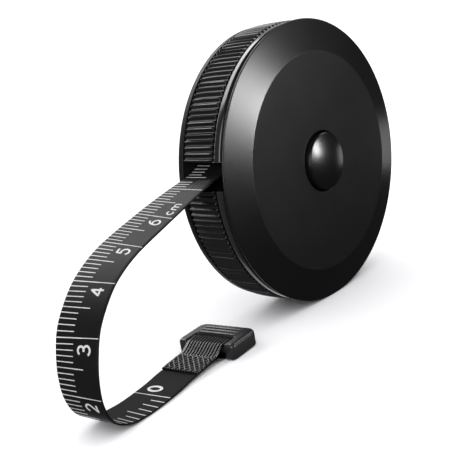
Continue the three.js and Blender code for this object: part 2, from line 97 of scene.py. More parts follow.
def shell(points, wrapU=False, wrapV=True, caps=False):
    # grid of nu by nv points: quads between neighbours, caps over the first and last row, faces outwards
    nu, nv = points.shape[:2]
    row = np.arange(nu if wrapU else nu - 1)
    here, there = row[:, None] * nv, ((row + 1) % nu)[:, None] * nv
    left = np.arange(nv if wrapV else nv - 1)
    right = (left + 1) % nv
    quads = np.stack([here + left, here + right, there + right, there + left], -1).reshape(-1, 4)
    flat = points.reshape(-1, 3)
    ends = []
    if caps:
        ends = [np.arange(nv)[::-1], np.arange(nv) + (nu - 1) * nv]
    parts = [quads[:, :3], quads[:, [0, 2, 3]]]
    parts += [np.c_[np.full(nv - 2, end[0]), end[1:-1], end[2:]] for end in ends]
    a, b, c = (flat[np.vstack(parts)[:, k]] for k in range(3))
    if np.einsum("ij,ij->i", a, np.cross(b, c)).sum() < 0:
        quads, ends = quads[:, ::-1], [end[::-1] for end in ends]
    return flat, quads.tolist() + [end.tolist() for end in ends]


def together(shells):
    # several closed shells as one mesh
    points, faces, start = [], [], 0
    for flat, polygons in shells:
        points.append(flat)
        faces += [[corner + start for corner in polygon] for polygon in polygons]
        start += len(flat)
    return np.vstack(points), faces


def addPiece(name, shapes, material, body, nodes=(), sharp=34, uv=None):
    # a piece that rides on a body, takes a slot's finish and stands for the nodes it names
    points, faces = shapes
    mesh = bpy.data.meshes.new(name)
    mesh.from_pydata((points * mm).tolist(), [], faces)
    if uv is not None:
        corner = np.empty(len(mesh.loops), np.int32)
        mesh.loops.foreach_get("vertex_index", corner)
        mesh.uv_layers.new(name="tapeRun").data.foreach_set("uv", uv.reshape(-1, 2)[corner].ravel())
    mesh.materials.append(material)
    mesh.shade_smooth()
    mesh.set_sharp_from_angle(angle=radians(sharp))
    piece = bpy.data.objects.new(name, mesh)
    bpy.context.scene.collection.objects.link(piece)
    if body:
        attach(piece, body)
    if nodes:
        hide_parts(*nodes)
    return piece


def unit(rows):
    # each row at length 1
    return rows / np.linalg.norm(rows, axis=-1, keepdims=True)


def smoothStep(x, low, high):
    # 0 below low, 1 above high, 3 t^2 - 2 t^3 between
    t = np.clip((x - low) / (high - low), 0, 1)
    return t * t * (3 - 2 * t)


def cubic(start, first, second, end, u):
    # curve from start to end that sets out for the first handle and comes in from the second
    u = u[:, None]
    return (1 - u) ** 3 * start + 3 * u * (1 - u) ** 2 * first + 3 * u * u * (1 - u) * second + u ** 3 * end


def rounded(corners, steps=6):
    # closed outline: each corner (x, y, radius) becomes an arc that touches both its sides
    places = np.array([corner[:2] for corner in corners], float)
    runs = []
    for k, here in enumerate(places):
        radius = corners[k][2]
        if radius == 0:
            runs.append(here[None])
            continue
        back, on = unit(places[k - 1] - here), unit(places[(k + 1) % len(places)] - here)
        half = np.arccos(np.clip(back @ on, -1, 1)) / 2
        centre = here + unit(back + on) * radius / np.sin(half)
        first, last = (here + side * radius / np.tan(half) - centre for side in (back, on))
        begin, end = np.arctan2(*first[::-1]), np.arctan2(*last[::-1])
        turn = begin + ((end - begin + np.pi) % (2 * np.pi) - np.pi) * np.linspace(0, 1, steps)
        runs.append(centre + radius * np.c_[np.cos(turn), np.sin(turn)])
    return np.vstack(runs)


def held(outline, reach=0.2):
    # extra points near both ends of each long side, so that shading stays flat between them
    runs = []
    for here, there in zip(outline, np.roll(outline, -1, 0)):
        length = np.linalg.norm(there - here)
        shares = [0, reach / length, 1 - reach / length] if length > 4 * reach else [0]
        runs.append(here + (there - here) * np.array(shares)[:, None])
    return np.vstack(runs)


def onDisc(radius, angle, axial):
    # polar place about the disc's axis: angle from +X towards +Z, axial along +Y
    radius, angle, axial = np.broadcast_arrays(radius, angle, axial)
    return discCentre + np.stack([radius * np.cos(angle), axial, radius * np.sin(angle)], -1)


def turned(profile, steps):
    # revolve of a closed (radius, axial) outline
    angle = np.linspace(0, 2 * np.pi, steps, endpoint=False)
    return shell(onDisc(profile[:, :1], angle, profile[:, 1:]), wrapU=True)


onAxis = 0.02  # radius that stands for the axis itself


def turnedSolid(profile, steps):
    # revolve of an open outline whose two ends lie on the axis
    angle = np.linspace(0, 2 * np.pi, steps, endpoint=False)
    return shell(onDisc(profile[:, :1], angle, profile[:, 1:]), caps=True)


# Finishes

def linear(code):
    # sRGB hex to linear light
    channel = np.array([int(code[k:k + 2], 16) for k in (1, 3, 5)]) / 255
    bright = ((channel + 0.055) / 1.055) ** 2.4
    return (*np.where(channel < 0.04045, channel / 12.92, bright).tolist(), 1.0)


def addNode(tree, kind, inputs=None, **settings):
    # one node with its settings, and a value or a link for each input named
    node = tree.nodes.new(kind)
    for key, value in settings.items():
        setattr(node, key, value)
    for key, value in (inputs or {}).items():
        if isinstance(value, bpy.types.NodeSocket):
            tree.links.new(value, node.inputs[key])
        else:
            node.inputs[key].default_value = value
    return node


def newFinish(name, shader):
    # a material whose shader starts with those values
    material = bpy.data.materials.new(name)
    material.use_nodes = True
    tree = material.node_tree
    tree.nodes.clear()
    surface = addNode(tree, "ShaderNodeBsdfPrincipled", shader)
    addNode(tree, "ShaderNodeOutputMaterial", {"Surface": surface.outputs[0]})
    return material, tree, surface


def perMm(size):
    # texture scale for a pattern of that size in millimetres
    return 1 / (size * mm)


def cloudedTone(tree, surface, place, colours, size, detail):
    # base colour that drifts between two tones in clouds of that size in millimetres; gives the clouds
    cloud = addNode(tree, "ShaderNodeTexNoise", {"Vector": place, "Scale": perMm(size), "Detail": detail})
    dark, light = (linear(code) for code in colours)
    tone = addNode(tree, "ShaderNodeMix", {
        "Factor": cloud.outputs["Fac"], "A": dark, "B": light}, data_type="RGBA")
    tree.links.new(tone.outputs["Result"], surface.inputs["Base Color"])
    return cloud.outputs["Fac"]


def mouldedPlastic(name, colours, roughness, spread, grain, depth, shine=0.5):
    # injection-moulded plastic: spark-eroded grain breaks the gloss, handling polishes it in soft patches
    patch = 9  # millimetres, as grain and depth
    material, tree, surface = newFinish(name, {"IOR": 1.53, "Specular IOR Level": shine})
    place = addNode(tree, "ShaderNodeTexCoord").outputs["Object"]
    cloud = cloudedTone(tree, surface, place, colours, patch, 3)
    gloss = addNode(tree, "ShaderNodeMapRange", {
        "Value": cloud, "To Min": roughness - spread, "To Max": roughness + spread})
    fine = addNode(tree, "ShaderNodeTexNoise", {"Vector": place, "Scale": perMm(grain), "Detail": 2})
    bump = addNode(tree, "ShaderNodeBump", {
        "Height": fine.outputs["Fac"], "Strength": 0.35, "Distance": depth * mm})
    tree.links.new(gloss.outputs[0], surface.inputs["Roughness"])
    tree.links.new(bump.outputs["Normal"], surface.inputs["Normal"])
    return material


# front cover: satin, broad soft highlights on the bevel
satinAbs = mouldedPlastic("satin ABS", ("#0e0e10", "#121214"), 0.28, 0.02, 0.35, 0.003)
# button: a little glossier, one clear highlight on the dome
glossAbs = mouldedPlastic("gloss ABS", ("#0e0e10", "#121214"), 0.24, 0.03, 0.5, 0.002)
# knurl: only the crests of the ribs catch the light
gripAbs = mouldedPlastic("knurled ABS", ("#0e0e10", "#131315"), 0.3, 0.04, 0.3, 0.001, shine=0.38)
# trim ring: polished in the tool, thin bright lines along its edges
ringAbs = mouldedPlastic("polished ABS", ("#1a1a1c", "#202022"), 0.2, 0.03, 0.5, 0.002)
# rear cover: deeper grain, nearly matt
rearAbs = mouldedPlastic("spark-textured ABS", ("#141416", "#19191b"), 0.44, 0.04, 0.3, 0.006, shine=0.2)
# end tab: the same black plastic painted a lighter tone, painted light that lifts its top and sides, and a
# little duller than the front cover
tabAbs = mouldedPlastic("tab ABS", ("#242426", "#2c2c2e"), 0.34, 0.03, 0.5, 0.0012)


def coatedTape(name, welded=False):
    # woven tape under a vinyl coat: threads show faintly through a satin skin that lights up at a low angle
    shine = 0.4 if welded else 0.14
    material, tree, surface = newFinish(name, {"IOR": 1.45, "Specular IOR Level": shine})
    run = addNode(tree, "ShaderNodeUVMap", uv_map="tapeRun").outputs[0]
    thread = 0.42  # real threads of 0.3 mm drawn a little coarse, to show in the render
    # a wave of this scale spans two threads, and the clouds are about 3 mm, as the UV map is in millimetres
    weave = [addNode(tree, "ShaderNodeTexWave", {"Vector": run, "Scale": 1 / (thread * 6.3)},
                     bands_direction=side).outputs["Fac"] for side in "XY"]
    cloth = addNode(tree, "ShaderNodeMath", {0: weave[0], 1: weave[1]}, operation="MULTIPLY")
    cloud = addNode(tree, "ShaderNodeTexNoise", {"Vector": run, "Scale": 0.35, "Detail": 3})
    tone = addNode(tree, "ShaderNodeMix", {
        "Factor": cloud.outputs["Fac"], "A": linear("#151516"), "B": linear("#1b1b1c")}, data_type="RGBA")
    rough, innerRough = (0.4, 0.48), 0.75
    # the inner face is painted darker, painted shade for the inside of the loop, and is made duller
    inner = addNode(tree, "ShaderNodeAttribute", attribute_name="innerFace").outputs["Fac"]
    tone = addNode(tree, "ShaderNodeMix", {
        "Factor": inner, "A": tone.outputs["Result"], "B": linear("#131314")}, data_type="RGBA")
    if welded:
        # the die's teeth leave dark pits and the heated coat shines; the raised lines between the pits are
        # painted lighter, a painted highlight where they catch the light
        rough = (0.22, 0.28)
        line = addNode(tree, "ShaderNodeAttribute", attribute_name="weldLineHighlight").outputs["Fac"]
        tone = addNode(tree, "ShaderNodeMix", {
            "Factor": line, "A": tone.outputs["Result"], "B": linear("#3a3a3c")}, data_type="RGBA")
    bump = addNode(tree, "ShaderNodeBump", {
        "Height": cloth.outputs[0], "Strength": 0.3, "Distance": 0.012 * mm})
    tree.links.new(tone.outputs["Result"], surface.inputs["Base Color"])
    satin = addNode(tree, "ShaderNodeMapRange", {
        "Value": cloud.outputs["Fac"], "To Min": rough[0], "To Max": rough[1]})
    gloss = addNode(tree, "ShaderNodeMapRange", {
        "Value": inner, "To Min": satin.outputs[0], "To Max": innerRough})
    tree.links.new(gloss.outputs[0], surface.inputs["Roughness"])
    tree.links.new(bump.outputs["Normal"], surface.inputs["Normal"])
    return material


def printInk(name, colours):
    # screen-printed ink: flat and matt, a little thin where the weave drinks it
    material, tree, surface = newFinish(name, {"IOR": 1.48, "Roughness": 0.55})
    place = addNode(tree, "ShaderNodeTexCoord").outputs["Object"]
    cloudedTone(tree, surface, place, colours, 0.5, 2)
    return material


tapeCloth = coatedTape("coated woven tape")
weldedTape = coatedTape("welded woven tape", True)
whiteInk = printInk("white printing ink", ("#d8d8d8", "#fafafa"))
greyInk = printInk("thin grey printing ink", ("#4c4c4e", "#6a6a6c"))


def naturalAcetal():
    # natural acetal: milky and waxy, faint flow marks from the mould
    material, tree, surface = newFinish("natural acetal", {"IOR": 1.48, "Roughness": 0.42})
    place = addNode(tree, "ShaderNodeTexCoord").outputs["Object"]
    cloudedTone(tree, surface, place, ("#cfcbbf", "#e4e1d8"), 4, 4)
    return material


def springSteel():
    # blued spring steel: rolled lines along the strip, a straw to blue temper
    material, tree, surface = newFinish("blued spring steel", {"Metallic": 1.0})
    place = addNode(tree, "ShaderNodeTexCoord").outputs["Object"]
    stretch = addNode(tree, "ShaderNodeMapping", {"Vector": place, "Scale": (1, 12, 1)})
    rolled = cloudedTone(tree, surface, stretch.outputs[0], ("#7f868f", "#a39c90"), 1.5, 2)
    gloss = addNode(tree, "ShaderNodeMapRange", {"Value": rolled, "To Min": 0.22, "To Max": 0.4})
    tree.links.new(gloss.outputs[0], surface.inputs["Roughness"])
    return material


def frictionRubber():
    # moulded friction rubber: dull, ground face with a fine tooth
    material, tree, surface = newFinish("friction rubber", {"IOR": 1.52, "Roughness": 0.8})
    place = addNode(tree, "ShaderNodeTexCoord").outputs["Object"]
    tooth = cloudedTone(tree, surface, place, ("#241d1a", "#332b27"), 0.4, 3)
    bump = addNode(tree, "ShaderNodeBump", {"Height": tooth, "Distance": 0.02 * mm})
    tree.links.new(bump.outputs["Normal"], surface.inputs["Normal"])
    return material


innerFinish = {
    "natural acetal": (naturalAcetal(), ["arbor", "thrust_washer", "tape_anchor", "brake_disc"]),
    "dark nylon": (mouldedPlastic("dark nylon", ("#35373b", "#404247"), 0.5, 0.05, 0.6, 0.006),
                   ["reel_drum", "reel_lid"]),
    "blued spring steel": (springSteel(), ["mainspring", "stem_clip"]),
    "friction rubber": (frictionRubber(), ["brake_ring"]),
}
for material, nodes in innerFinish.values():
    for node in nodes:
        mesh = frame["nodes"][node].data
        mesh.materials.clear()
        mesh.materials.append(material)
print("finishes made:", len(bpy.data.materials), "materials")


# Case

caseSet = {
    "radius": 30.0,
    "steps": 288,
    "coverEdge": (-6.5, -6.2),  # straight edge of the front cover, axial
    "frontFace": -8.1,
    "faceRadius": 23.3,
    "faceLip": (0.14, 0.022),  # narrow chamfer round the flat: width, depth
    "rearFace": 8.1,
    "rearFaceRadius": 24.5,
    "strip": (4.6, 5.8),  # smooth strip of the rear cover, axial
    "stripRadius": 29.6,
    "wall": (25.3, 26.8),  # round the reel: inner and outer radius
    "rearFloor": 6.6,
    "arborSeat": (2.7, 7.6, 4.5, 5.9),  # recess: radius, floor; rim round it: radius, top
    "ceiling": -6.6,
    "skirt": (24.1, 25.0, -4.6),  # inner and outer radius, end
    "well": (6.35, -5.1),  # button well: radius, floor
    "wellShell": (7.3, 0.9),  # its outer radius, thickness of its floor
    "wellEdge": 0.25,  # chamfer where the button enters
    "stemHole": 3.3,
    "mouth": (1.4, 7.0),  # lower and upper edge, from the disc's centre
}


def bevelRun(inner, outer, steps=6):
    # bevel that starts at a crease and steepens outwards: depth = 0.72 s + 0.28 s^2
    share = np.linspace(0, 1, steps)[1:-1]
    depth = 0.72 * share + 0.28 * share ** 2
    return [(inner[0] + (outer[0] - inner[0]) * s, inner[1] + (outer[1] - inner[1]) * d, 0)
            for s, d in zip(share, depth)]


def frontCover(c):
    # closed outline of (radius, axial, rounding), turned about the disc's axis
    face, (edge, under) = c["frontFace"], c["coverEdge"]
    width, depth = c["faceLip"]
    crease = (c["faceRadius"], face + depth)
    (wellRadius, wellFloor), wellEdge, hole = c["well"], c["wellEdge"], c["stemHole"]
    wellOut, wellUnder = c["wellShell"][0], wellFloor + c["wellShell"][1]
    skirtIn, skirtOut, skirtEnd = c["skirt"]
    corners = [
        (hole, wellFloor, 0), (wellRadius, wellFloor, 0.3), (wellRadius, face + wellEdge, 0.06),
        (wellRadius + wellEdge, face, 0.1), (crease[0] - width, face, 0.06), (*crease, 0.04),
        (c["radius"], edge, 0.16), (c["radius"], under, 0.1), (skirtOut, under, 0),
        (skirtOut, skirtEnd, 0.1), (skirtIn, skirtEnd, 0.1), (skirtIn, c["ceiling"], 0.3),
        (wellOut, c["ceiling"], 0.3), (wellOut, wellUnder, 0.1), (hole, wellUnder, 0),
    ]
    return turned(held(rounded(corners)), c["steps"])


def mouthAngles(radius, mouth):
    # where a circle of that radius meets the mouth's flat lower and upper edge, going round the long way
    low, high = mouth
    return np.pi - np.arcsin(low / radius), 3 * np.pi - np.arcsin(high / radius)


def openRing(profile, steps, mouth):
    # closed (radius, axial) outline carried round from the mouth's lower edge to its upper edge
    first, last = mouthAngles(profile[:, 0], mouth)
    angle = first + (last - first) * np.linspace(0, 1, steps)[:, None]
    return shell(onDisc(profile[:, 0], angle, profile[:, 1]), caps=True)


ringSet = {"inner": 27.1, "outer": 29.8, "front": -5.6, "back": -3.7, "round": 0.6}


def trimRing(r, c):
    # rectangle with a rounded outside, carried round from one edge of the mouth to the other
    corners = [(r["inner"], r["front"], 0), (r["outer"], r["front"], r["round"]),
               (r["outer"], r["back"], r["round"]), (r["inner"], r["back"], 0)]
    return openRing(held(rounded(corners, 8)), c["steps"], c["mouth"])


gripSet = {
    "ribs": 152, "depth": 0.5, "narrow": 1.6, "inner": 27.1, "front": -3.4, "back": 4.3, "stepsPerRib": 9,
    "frontEnd": 0.6, "backEnd": 0.4,  # length of the ribs' rounded ends
    "crown": (3.6, 0.2),  # the back part falls away: length, drop
}


def gripRim(g, c):
    # radius = root + depth * (half a cosine per rib) ^ narrow * quarter rounds at both rib ends - crown
    # rows of points along a rib lie closer at its ends
    rise = np.array([0, 0.04, 0.13, 0.28, 0.5, 0.75, 1.0])
    bend, drop = g["crown"]
    along = g["back"] - bend * np.array([1.0, 0.8, 0.6, 0.45, 0.3, 0.2])
    axial = np.r_[g["front"] + g["frontEnd"] * rise, along, g["back"] - g["backEnd"] * rise[::-1]]
    fall = drop * np.clip(1 - (g["back"] - axial) / bend, 0, 1) ** 2
    fromFront = np.clip((axial - g["front"]) / g["frontEnd"], 0, 1)
    fromBack = np.clip((g["back"] - axial) / g["backEnd"], 0, 1)
    ends = np.sqrt((1 - (1 - fromFront) ** 2) * (1 - (1 - fromBack) ** 2))
    root = c["radius"] - g["depth"] - fall
    radius = root + g["depth"] * ends
    steps = g["ribs"] * g["stepsPerRib"]
    first, last = mouthAngles(radius, c["mouth"])
    angle = first + (last - first) * np.linspace(0, 1, steps)[:, None]
    rib = (0.5 + 0.5 * np.cos(g["ribs"] * angle)) ** g["narrow"]
    outer = onDisc(root + g["depth"] * rib * ends, angle, axial)
    bore = np.full(2, g["inner"])
    firstBore, lastBore = mouthAngles(bore, c["mouth"])
    boreAngle = firstBore + (lastBore - firstBore) * np.linspace(0, 1, steps)[:, None]
    inner = onDisc(bore, boreAngle, np.array([g["back"], g["front"]]))
    return shell(np.concatenate([outer, inner], 1), caps=True)


def rearCover(c):
    # outline of (radius, axial, rounding) turned about the disc's axis, and the wall that stands on it
    face, (stripFront, stripBack) = c["rearFace"], c["strip"]
    wallIn, wallOut = c["wall"]
    seatRadius, seatFloor, rimRadius, rimTop = c["arborSeat"]
    floor, wallFoot = c["rearFloor"], stripFront - 0.1
    crease = (c["rearFaceRadius"], face)
    bevel = bevelRun(crease, (c["stripRadius"], stripBack))[::-1]
    corners = [
        (onAxis, seatFloor, 0), (seatRadius, seatFloor, 0), (seatRadius, rimTop, 0.1),
        (rimRadius, rimTop, 0.2), (rimRadius, floor, 0.2),
        (wallIn, floor, 0.2), (wallIn, wallFoot, 0), (wallOut, wallFoot, 0),
        (wallOut, stripFront, 0), (c["stripRadius"], stripFront, 0.15),
        (c["stripRadius"], stripBack, 0.3), *bevel, (*crease, 0.3), (onAxis, face, 0),
    ]
    outline = held(rounded(corners))[:-2]  # the side along the axis needs no points
    body = turnedSolid(outline, c["steps"])
    # wall round the reel, with lips that bulge into the mouth by half the wall
    half = (wallOut - wallIn) / 2
    across = np.linspace(-1, 1, 9)
    bulge = half * np.sqrt(1 - across ** 2)
    radius = (wallIn + wallOut) / 2 + half * across
    first, last = mouthAngles(radius, (c["mouth"][0] + bulge, c["mouth"][1] - bulge))
    radius, first, last = (np.r_[row, row[::-1]] for row in (radius, first, last))
    axial = np.repeat([ringSet["front"], stripFront], len(across))
    angle = first + (last - first) * np.linspace(0, 1, c["steps"])[:, None]
    return together([body, shell(onDisc(radius, angle, axial), caps=True)])


buttonSet = {
    "radius": 6.05, "top": -10.0, "edge": -9.05, "skirtEnd": -6.9, "edgeRound": 0.22,
    "wall": 1.05, "crown": 1.25, "steps": (14, 128),  # over the dome, round it
    "stem": 2.0, "stemEnd": -1.25,  # clear of the mainspring's hook when pressed
    "groove": (1.3, -2.15, -1.45),  # clip's groove: radius, front, back
}


def pushButton(b):
    # dome on a sphere through its top and edge: a = top + R - sqrt(R^2 - r^2)
    rise = b["edge"] - b["top"]
    sphere = (b["radius"] ** 2 + rise ** 2) / (2 * rise)
    rows, steps = b["steps"]
    r = np.linspace(onAxis, b["radius"], rows)[:-1]
    dome = [(x, b["top"] + sphere - np.sqrt(sphere ** 2 - x ** 2), 0) for x in r]
    ceiling, bore, stem = b["top"] + b["crown"], b["radius"] - b["wall"], b["stem"]
    neck, front, back = b["groove"]
    corners = [
        *dome, (b["radius"], b["edge"], b["edgeRound"]), (b["radius"], b["skirtEnd"], 0.15),
        (bore, b["skirtEnd"], 0.1), (bore, ceiling, 0.2),
        (stem, ceiling, 0.2), (stem, front, 0.05), (neck, front, 0), (neck, back, 0),
        (stem, back, 0.05), (stem, b["stemEnd"], 0.1), (onAxis, b["stemEnd"], 0),
    ]
    return turnedSolid(held(rounded(corners))[:-2], steps)


springSet = {
    "radius": 3.97, "wire": 0.2, "turns": 2.25, "ends": (-8.24, -5.61),  # axial places of the wire's ends
    "pressed": 0.55,  # share of its height left under the pressed button
    "steps": (120, 12),  # along the wire, round it
}


def returnSpring(s):
    # helix about the disc's axis: a circle of the wire carried up and round
    u = np.linspace(0, 1, s["steps"][0])[:, None]
    around = np.linspace(0, 2 * np.pi, s["steps"][1], endpoint=False)
    first, last = s["ends"]
    radius = s["radius"] + s["wire"] * np.cos(around)
    axial = first + (last - first) * u + s["wire"] * np.sin(around)
    return shell(onDisc(radius, 2 * np.pi * s["turns"] * u, axial), caps=True)


addPiece("front_cover_shell", frontCover(caseSet), satinAbs, "case", ["front_cover"], sharp=24)
addPiece("trim_band", trimRing(ringSet, caseSet), ringAbs, "case", ["trim_ring"])
addPiece("knurled_grip", gripRim(gripSet, caseSet), gripAbs, "case", ["grip_rim"], sharp=50)
addPiece("rear_cover_shell", rearCover(caseSet), rearAbs, "case", ["rear_cover"], sharp=24)
addPiece("domed_button", pushButton(buttonSet), glossAbs, "button", ["push_button"])
spring = addPiece("return_spring", returnSpring(springSet), innerFinish["blued spring steel"][0], "case",
                  ["button_spring"])
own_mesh(spring)
print("case made")


# Tape

tapeSet = {
    "width": 8.5,
    "thickness": 0.35,
    "route": [
        (-30.05, 0.95, 33.6), (-34.2, 0.75, 32.7), (-38.3, 0.55, 31.7), (-42.4, 0.25, 30.7),
        (-46.5, -0.15, 29.7), (-50.6, -0.75, 28.8), (-54.7, -1.45, 27.8), (-58.6, -2.25, 26.5),
        (-62.4, -3.15, 24.7), (-65.7, -4.05, 22.3), (-68.5, -4.65, 19.1), (-70.2, -5.05, 15.3),
        (-71.0, -5.05, 11.1), (-70.7, -4.75, 6.9), (-68.9, -4.35, 3.2), (-65.3, -3.85, 1.0),
        (-61.1, -3.55, 0.35), (-56.9, -3.25, 0.35), (-52.7, -2.65, 0.5), (-48.5, -1.85, 0.85),
    ],
    "turn": (0, 6, 12.5, 16, 11, 4),  # degrees about Z, evenly along the route, the tab's own last
    "tilt": (0, 6.5, 7.5, 4, 4.5, 1),  # degrees, back edge up, level at the tab
    "coil": (12.675, 22.775, 149.0, 0.8),  # inner and outer radius, where the tape leaves it, pitch
    "exit": (-29.7, 3.65, 12.0),  # end of the inner run from the disc's centre, degrees below level
    "leadHandles": (6, 5),
    "handOver": 0.22,  # share of the inner run that still turns with the winding
    "settle": 7,  # last stretch of the route, which sinks under the folded-back end
    "samples": {"free": 1200, "tongue": 40, "lead": 120, "coil": 900, "tail": 12},  # of the middle lines
    "steps": {"free": 280, "lead": 60, "coil": 760, "seam": 8},  # of the strips
}
routeEnd = np.array(tapeSet["route"][-1])
toBar = barCentre - routeEnd
tabTurn = np.arctan2(toBar[1], toBar[0])


def smoothRow(points, samples):
    # Catmull-Rom through rows of numbers, evenly in the row's index
    row = np.vstack([2 * points[0] - points[1], points, 2 * points[-1] - points[-2]])
    t = np.linspace(0, len(points) - 1 - 1e-9, samples)
    k = t.astype(int)
    t = (t - k)[:, None]
    a, b, c, d = (row[k + n] for n in range(4))
    return 0.5 * (2 * b + (c - a) * t + (2 * a - 5 * b + 4 * c - d) * t ** 2
                  + (3 * b - a - 3 * c + d) * t ** 3)


def tapeLine(places, across):
    # a run of tape: arc length, place, width direction and the face that looks out of the loop
    along = unit(np.gradient(places, axis=0))
    arc = np.r_[0, np.cumsum(np.linalg.norm(np.diff(places, axis=0), axis=1))]
    across = unit(across - along * np.einsum("ij,ij->i", along, across)[:, None])
    return {"arc": arc, "place": places, "across": across, "out": np.cross(across, along)}


def levelLine(places):
    # a run whose width lies along the disc's axis
    return tapeLine(places, np.tile([0.0, 1.0, 0.0], (len(places), 1)))


def onTape(line, s, w, h):
    # place on a run of tape: s along it, w across it, h out of its outer face
    s, w, h = np.broadcast_arrays(s, w, h)
    place, across, out = (
        np.stack([np.interp(s, line["arc"], line[key][:, k]) for k in range(3)], -1)
        for key in ("place", "across", "out"))
    return place + across * w[..., None] + out * h[..., None]


def freeLine(t):
    # the loop from the mouth to the weld, its width direction turned and tilted evenly along it
    samples = t["samples"]["free"]
    places = smoothRow(np.array(t["route"]), samples)
    arc = np.r_[0, np.cumsum(np.linalg.norm(np.diff(places, axis=0), axis=1))]
    knots = np.radians(np.c_[[*t["turn"], np.degrees(tabTurn)], [*t["tilt"], 0]])
    rows = smoothRow(knots, samples)
    share = arc / arc[-1] * (samples - 1)
    turn, tilt = (np.interp(share, np.arange(samples), rows[:, k]) for k in range(2))
    across = np.c_[-np.sin(turn) * np.cos(tilt), np.cos(turn) * np.cos(tilt), np.sin(tilt)]
    line = tapeLine(places, across)
    # the last stretch settles under the folded-back end and runs on to the middle of the weld
    sink = foldSet["layer"] * smoothStep(arc, arc[-1] - t["settle"], arc[-1])
    places = places + line["out"] * sink[:, None]
    share = np.linspace(0, 1, t["samples"]["tongue"])[1:, None]
    more = share * (foldSet["splice"] + np.linalg.norm(toBar))
    places = np.vstack([places, places[-1] + more * unit(toBar)])
    return tapeLine(places, np.vstack([across, np.tile(across[-1], (len(more), 1))])), arc[-1]


def leadPlaces(t, u):
    # cubic from the winding, along its tangent, to the mouth
    radius, leave = t["coil"][1], radians(t["coil"][2])
    x, z, slope = t["exit"]
    start = radius * np.array([np.cos(leave), np.sin(leave)])
    first = start + t["leadHandles"][0] * np.array([-np.sin(leave), np.cos(leave)])
    end = np.array([x, z])
    second = end + t["leadHandles"][1] * np.array([np.cos(radians(slope)), np.sin(radians(slope))])
    flat = cubic(start, first, second, end, u)
    return discCentre + np.c_[flat[:, 0], np.zeros(len(flat)), flat[:, 1]]


def leadLine(t):
    # the inner run, from where it stops turning with the winding to the mouth
    return levelLine(leadPlaces(t, np.linspace(t["handOver"], 1, t["samples"]["lead"])))


def coilLine(t):
    # spiral from the drum out to where the tape leaves it, and a little further
    inner, outer, leave, pitch = t["coil"]
    turns = (outer - inner) / pitch
    u = np.linspace(0, 1, t["samples"]["coil"])
    angle = radians(leave) - 2 * np.pi * turns * (1 - u)
    tail = leadPlaces(t, np.linspace(0, t["handOver"], t["samples"]["tail"])[1:])
    return levelLine(np.vstack([onDisc(inner + (outer - inner) * u, angle, 0), tail]))


def tapeSection(t):
    # closed outline of the tape: two faces and rounded selvedges, as (w, h)
    half, thick = t["width"] / 2, t["thickness"] / 2
    selvedge = thick * 0.8
    corners = [(w, h, selvedge) for w, h in
               [(half, -thick), (half, thick), (-half, thick), (-half, -thick)]]
    return held(rounded(corners, 4), 0.5)


def tapeStrip(line, steps, section):
    # the section carried along the run; the UV map counts millimetres along and across
    s = np.linspace(0, line["arc"][-1], steps)
    w, h = section[:, 0], section[:, 1]
    points = onTape(line, s[:, None], w, h)
    uv = np.stack(np.broadcast_arrays(s[:, None], w), -1)
    return shell(points, caps=True), uv


foldSet = {
    "layer": 0.2,  # tape's middle to the tongue's middle
    "wrap": 1.425,  # tape's middle over and under the bar
    "reach": 1.9,  # and behind it
    "square": 0.7,  # power of cosine and sine round the bar, 1 for an oval
    "crest": -1.05,  # the stiff loop stays level from the bar to here
    "bulge": (0.9, 1.2),  # handles of the curve from there to the joined layers
    "join": -4.4,  # where both layers lie together, from the bar
    "weld": (-10.2, -4.7),  # welded stretch, from the bar
    "splice": -7.4,  # where the free run ends under the weld
    "weldFade": (-0.1, 0.2, -0.4, 0.1),  # from its two ends: where it sets in and dies away
    "diamond": (1.4, 1.25), "weldDepth": 0.2,  # pitch along and across
    "pit": (0.3, 0.66),  # height of the wave at a pit's rim and floor
    "ribs": 12, "ribDepth": 0.15,
    "ribFade": (-0.1, 0.5, 1.6, 1.9),  # sets in from the weld's end, dies away behind the bar
    "thinEdge": (24, 0.1),  # power of the fall towards the selvedge, drop there
    "samples": {"under": 80, "ease": 60, "bend": 90, "over": 200},
    "step": 0.07, "columns": 96,  # along and across the tape
}


def foldLine(f):
    # under the bar, round it and back on top, in the plane of the tongue
    samples = f["samples"]
    ex = unit(toBar)
    ey = np.array([-np.sin(tabTurn), np.cos(tabTurn), 0])
    ez = np.cross(ex, ey)
    # the bend is an oval squared off at its corners
    turn = np.linspace(-np.pi / 2, np.pi / 2, samples["bend"])
    bend = np.c_[np.cos(turn), np.abs(np.sin(turn))] ** f["square"]
    bend = bend * np.c_[np.full(len(turn), f["reach"]), f["wrap"] * np.sign(turn)]
    start, end = np.array([f["crest"], f["wrap"]]), np.array([f["join"], f["layer"]])
    first, second = start - np.array([f["bulge"][0], 0]), end + np.array([f["bulge"][1], 0])
    ease = cubic(start, first, second, end, np.linspace(0, 1, samples["ease"])[:-1])
    over, under = (np.c_[np.linspace(f["join"], last, samples[key]), np.full(samples[key], f["layer"])]
                   for key, last in (("over", f["weld"][0]), ("under", f["splice"])))
    flip = np.array([1, -1])
    flat = np.vstack([(under * flip)[::-1], (ease * flip)[::-1], bend, ease, over])
    places = barCentre + flat[:, :1] * ex + flat[:, 1:] * ez
    line = tapeLine(places, np.tile(ey, (len(flat), 1)))
    line["x"] = flat[:, 0]
    line["top"] = np.arange(len(flat)) >= len(under) + len(ease) + len(bend) // 2
    return line


